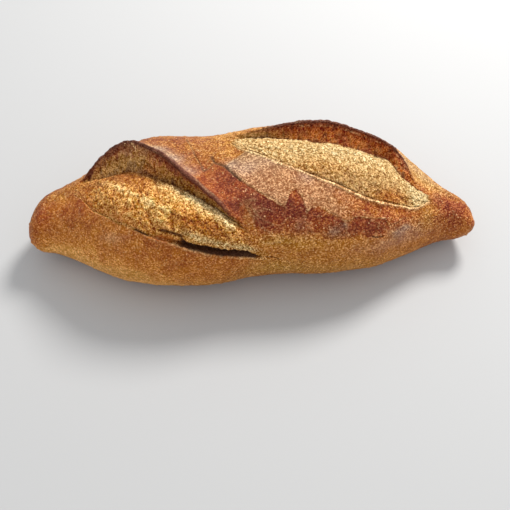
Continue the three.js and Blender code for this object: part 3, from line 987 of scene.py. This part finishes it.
# painted sheen: bluish-grey patches
PAINTED_GREY_SHEEN = (0.25, 0.14, 0.09, 1)
# painted sheen: a paler haze
PAINTED_SHEEN = (0.46, 0.3, 0.22, 1)
CRUMB_PALE = (0.66, 0.4, 0.15, 1)
BAND_BROWN = (0.22, 0.064, 0.035, 1)
FLAKE_PALE = (0.86, 0.54, 0.25, 1)
SPECK_PALE = (0.78, 0.47, 0.22, 1)
# the painted shade in small pits and pores
PIT_SHADE = (0.13, 0.04, 0.014, 1)
RIM_DARK = (0.14, 0.037, 0.018, 1)
# the painted shade in cracks, creases and the open tear
CRACK_SHADE = (0.055, 0.018, 0.008, 1)
BASE_BROWN = (0.3, 0.125, 0.04, 1)
LEAST_COLOUR = (0.004, 0.002, 0.001)
GRAIN_TINT = (0.88, 0.7, 0.42)  # of the light that each grain adds or takes away
TAN_LESS_RED = 0.15
SPECULAR = 0.17
BUMP_HEIGHT = 0.9


def crust_colour(s):
    """The baked crust: toast, ochre, pale skin and specks, with bluish-grey patches and a paler
    haze of painted sheen, and small pits darkened as painted shade.
    """
    toast = s.add(s.mask("toast"), s.swing(s.patchy, 0.85))
    toast = s.add(toast, s.swing(s.grainy, 0.45))
    toast = s.less(toast, s.swing(s.powder, 0.2))
    colour = s.ramp(toast, TOAST_STOPS)
    shade = s.step(s.less(s.grainy, s.times(s.powder, 0.05)), 0.3, 0.72)
    colour = s.mix(s.some("ochre", 0.75), colour, s.mix(shade, OCHRE, OCHRE_DARK))
    # painted sheen: bluish-grey patches
    colour = s.mix(s.some("painted_grey_sheen", 0.75), colour, PAINTED_GREY_SHEEN)
    shade = s.step(s.less(s.grainy, s.times(s.powder, 0.06)), 0.3, 0.7)
    colour = s.mix(s.some("skin", 0.9), colour, s.mix(shade, SKIN_PALE, SKIN_DARK))
    # painted sheen: a paler haze
    colour = s.mix(s.some("painted_sheen", 0.7), colour, PAINTED_SHEEN)
    # small pits, darkened as painted shade
    colour = s.mix(s.times(s.pit, 0.35), colour, PIT_SHADE)
    return s.mix(s.speck, colour, SPECK_PALE)


def bloom_colour(s):
    """The rough crumb of the blooms, between tan and cream, darker in its hollows and lighter on
    its tops as painted shade and light.
    """
    coarse = s.swing(s.noise(3.5, 3, 0.6), 0.4)
    grains = s.add(s.add(s.fine, coarse), s.add(s.spray, s.mask("painted_crumb_light_and_tone")))
    grains = s.add(s.add(grains, 0.5), s.swing(s.powder, 0.1))
    tan, cream = s.ramp(grains, TAN_BLOOM_STOPS), s.ramp(grains, CREAM_BLOOM_STOPS)
    return s.mix(s.mask("cream"), tan, cream)


def wall_colour(s):
    """The torn walls under the ears: streaky crumb on the left, baked dark on the right."""
    streaky = s.swing(s.noise(1.2, 4, 0.75, s.down_slope(3)), 1.5)
    share = s.add(s.mask("wall_share"), streaky)
    share = s.less(share, s.some("crumb", 0.25))
    share = s.less(share, s.some("torn_crumb", 0.3))
    wall = s.mix(s.mask("baked"), s.ramp(share, CRUMB_STOPS), s.ramp(share, BAKED_STOPS))
    blotches = s.step(s.noise(9, 2, 0.5), 0.46, 0.6)
    wall = s.mix(s.times(s.times(blotches, s.mask("baked")), 0.65), wall, WALL_RED)
    # pale crumb, with painted light on the right wall's left end
    wall = s.mix(s.some("crumb", 0.55), wall, CRUMB_PALE)
    # pores, darkened as painted shade
    return s.mix(s.some("pores", 0.6), wall, PIT_SHADE)


def add_edges(s, colour):
    """The underside, the tear, the bands and rims of the ears, flakes and cracks; the open tear,
    the cracks and the creases are darkened as painted shade.
    """
    colour = s.mix(s.some("underside", 0.5), colour, BASE_BROWN)
    # the open tear, painted dark as the shade inside it
    colour = s.mix(s.some("torn", 0.95), colour, CRACK_SHADE)
    colour = s.mix(s.some("band", 0.75), colour, BAND_BROWN)
    broken = s.step(s.add(s.swing(s.grainy, 2.4), s.mask("rim")), 0.25, 0.75)
    colour = s.mix(s.math("MULTIPLY", broken, s.mask("rim"), clamp=True), colour, RIM_DARK)
    colour = s.mix(s.some("flakes", 0.8), colour, FLAKE_PALE)
    # cracks and creases, painted dark as the shade in them
    return s.mix(s.some("crack_and_crease_shade", 0.9), colour, CRACK_SHADE)


def add_grains(s, colour, crumb):
    """Each grain is lighter or darker than its surroundings, and less strongly coloured: partly
    pale and dark flecks, partly painted light and shade on the small grains.
    """
    rough_part = s.math("MAXIMUM", crumb, s.mask("skin"))
    shade = s.math("POWER", s.sand_shade, s.between(crumb, 2.0, 1.0))
    shade = s.less(shade, s.between(crumb, 0.33, 0.5))
    shade = s.times(shade, s.times(s.between(rough_part, 0.9, 1.25), s.mask("grainy")))
    grey = s.node("ShaderNodeRGBToBW", {0: colour}).outputs[0]
    grain = s.vector("ADD", s.vector("SCALE", GRAIN_TINT, grey), s.vector("SCALE", colour, 0.5))
    colour = s.vector("ADD", colour, s.vector("SCALE", grain, shade))
    return s.vector("MAXIMUM", colour, LEAST_COLOUR)


def crust_material():
    s = Shader("crust")
    s.place = s.node("ShaderNodeTexCoord").outputs["Object"]
    place_x = s.node("ShaderNodeSeparateXYZ", {0: s.place}).outputs[0]

    def down_slope(length):
        """Stretches a pattern along the way down from a crease, over a length in mm."""
        across = s.some("across", length * MM)
        return s.node("ShaderNodeCombineXYZ", {0: place_x, 1: across}).outputs[0]

    s.down_slope = down_slope
    s.patchy = s.noise(8, 4, 0.6)
    s.grainy = s.noise(1.5, 4, 0.65)
    s.powder = s.step(s.noise(0.8, 2, 0.6), 0.42, 0.6)
    s.fine = s.swing(s.noise(0.8, 2, 0.7), 0.9)
    s.spray = s.swing(s.noise(1.2, 3, 0.6, down_slope(16)), 1.0)
    sand = s.dots(0.8)
    s.sand_shade = s.node("ShaderNodeSeparateColor", {0: sand.outputs["Color"]}).outputs[0]
    sand_dome = s.less(0.5, sand.outputs["Distance"])
    dots = s.dots(1.7)
    pick = s.node("ShaderNodeSeparateColor", {0: dots.outputs["Color"]})
    dot = s.step(dots.outputs["Distance"], 0.38, 0.18)
    bright = s.times(dot, s.step(pick.outputs[0], 0.7, 0.9))
    s.speck = s.math("MAXIMUM", s.times(bright, 0.5), s.some("blister", 0.18))
    s.pit = s.times(dot, s.step(pick.outputs[1], 0.75, 0.9))

    colour = s.mix(s.mask("bloom"), crust_colour(s), bloom_colour(s))
    colour = s.mix(s.mask("wall"), colour, wall_colour(s))
    colour = add_edges(s, colour)
    redness = s.less(1.0, s.some("tan", TAN_LESS_RED))
    tint = s.node("ShaderNodeCombineXYZ", {0: redness, 1: 1.0, 2: 1.0}).outputs[0]
    crumb = s.math("MAXIMUM", s.mask("bloom"), s.mask("wall"))
    colour = add_grains(s, s.vector("MULTIPLY", colour, tint), crumb)
    s.put(s.surface.inputs["Base Color"], colour)

    roughness = s.less(s.between(crumb, 0.5, 0.9), s.some("band", 0.15))
    s.put(s.surface.inputs["Roughness"], s.add(roughness, s.times(s.grainy, 0.12)))
    s.surface.inputs["Specular IOR Level"].default_value = SPECULAR

    crust_grain = s.add(s.times(s.grainy, 0.8), s.times(s.less(s.speck, s.pit), 0.3))
    crust_grain = s.add(crust_grain, s.times(sand_dome, 0.25))
    crumb_grain = s.times(s.add(s.add(s.fine, s.spray), s.times(sand_dome, 0.6)), 0.55)
    height = s.node("ShaderNodeMix", {0: crumb, 2: crust_grain, 3: crumb_grain}).outputs[0]
    inputs = {"Strength": 1.0, "Distance": BUMP_HEIGHT * MM, "Height": height}
    s.put(s.surface.inputs["Normal"], s.node("ShaderNodeBump", inputs).outputs[0])
    return s.material


# ---- floor, light and camera ----
FLOOR_SIZE = 6
FLOOR_DROP = 0.0002  # keeps the floor just below the flat base
FLOOR_GREY = (0.5, 0.5, 0.5, 1)


def make_floor():
    bpy.ops.mesh.primitive_plane_add(size=FLOOR_SIZE, location=(0, 0, -FLOOR_DROP))
    floor = bpy.context.object
    floor.name = "pale_floor"
    s = Shader("floor")
    s.surface.inputs["Base Color"].default_value = FLOOR_GREY
    s.surface.inputs["Roughness"].default_value = 0.9
    floor.data.materials.append(s.material)


SKY = (0.96, 0.98, 1.0, 1)
SKY_STRENGTH = 0.8
LIGHT_PLACE = (0.5, 0.75, 0.95)
LIGHT_SIZE = 0.4
LIGHT_POWER = 19
LIGHT_COLOUR = (1.0, 0.98, 0.95)


def make_light():
    """A soft room, and a round soft light that faces the loaf."""
    world = bpy.data.worlds.new("soft_room")
    world.use_nodes = True
    sky = world.node_tree.nodes["Background"]
    sky.inputs["Color"].default_value = SKY
    sky.inputs["Strength"].default_value = SKY_STRENGTH
    bpy.context.scene.world = world
    data = bpy.data.lights.new("window", "AREA")
    data.shape = "DISK"
    data.size = LIGHT_SIZE
    data.energy = LIGHT_POWER
    data.color = LIGHT_COLOUR
    light = bpy.data.objects.new("window", data)
    light.location = LIGHT_PLACE
    light.rotation_euler = (-Vector(LIGHT_PLACE)).to_track_quat("-Z", "Y").to_euler()
    bpy.context.collection.objects.link(light)
    bpy.context.scene.view_settings.view_transform = "Standard"


# the camera of the photographed view, in metres and degrees
CAMERA_PLACE = (0.0028, -0.3079, 0.432)
CAMERA_TURN = (33.32, 0.41, -0.43)
LENS = 49.1
SENSOR = 36
NEAREST = 0.01


def make_camera():
    data = bpy.data.cameras.new("camera")
    data.lens = LENS
    data.sensor_width = SENSOR
    data.clip_start = NEAREST
    camera = bpy.data.objects.new("camera", data)
    camera.location = CAMERA_PLACE
    camera.rotation_euler = [turn * DEGREE for turn in CAMERA_TURN]
    bpy.context.collection.objects.link(camera)
    bpy.context.scene.camera = camera


make_camera()
make_light()
make_floor()
loaf = loaf_object(*shape_loaf())
loaf.data.materials.append(crust_material())
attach(loaf, "root")
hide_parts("loaf")
